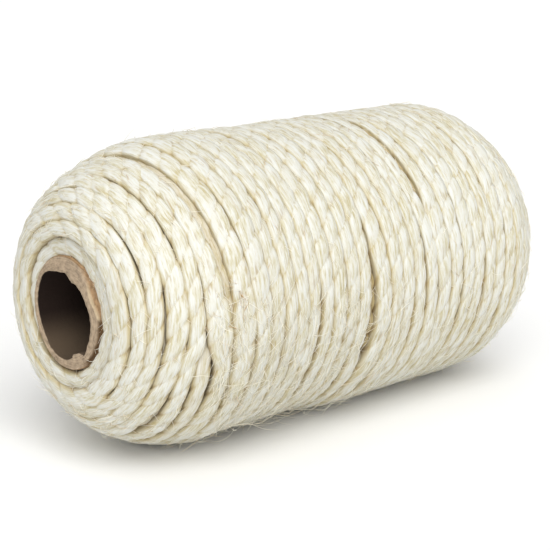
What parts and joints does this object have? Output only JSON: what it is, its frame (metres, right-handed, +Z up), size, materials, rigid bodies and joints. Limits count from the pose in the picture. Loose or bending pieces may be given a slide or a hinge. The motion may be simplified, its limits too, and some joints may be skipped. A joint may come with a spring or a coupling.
{
  "type": "roll of sisal rope",
  "caption": "Twisted natural sisal rope wound in close turns on a hollow cardboard tube, for tying, garden and craft use.",
  "frame": {"origin": "middle of the roll's footprint on the surface it lies on", "axes": "+X along the tube, from the near end to the far end; +Z up, away from the flat spot that the roll lies on"},
  "size_m": [0.21, 0.11, 0.1094],
  "materials": {
    "sisal": "matt, slightly silky twisted plant fibre, cream with straw-coloured streaks",
    "cardboard": "matt grey-brown wound cardboard, rough at the cut rim"
  },
  "bodies": {
    "root": {"rope_winding": "sisal", "core_tube": "cardboard"}
  },
  "joints": []
}
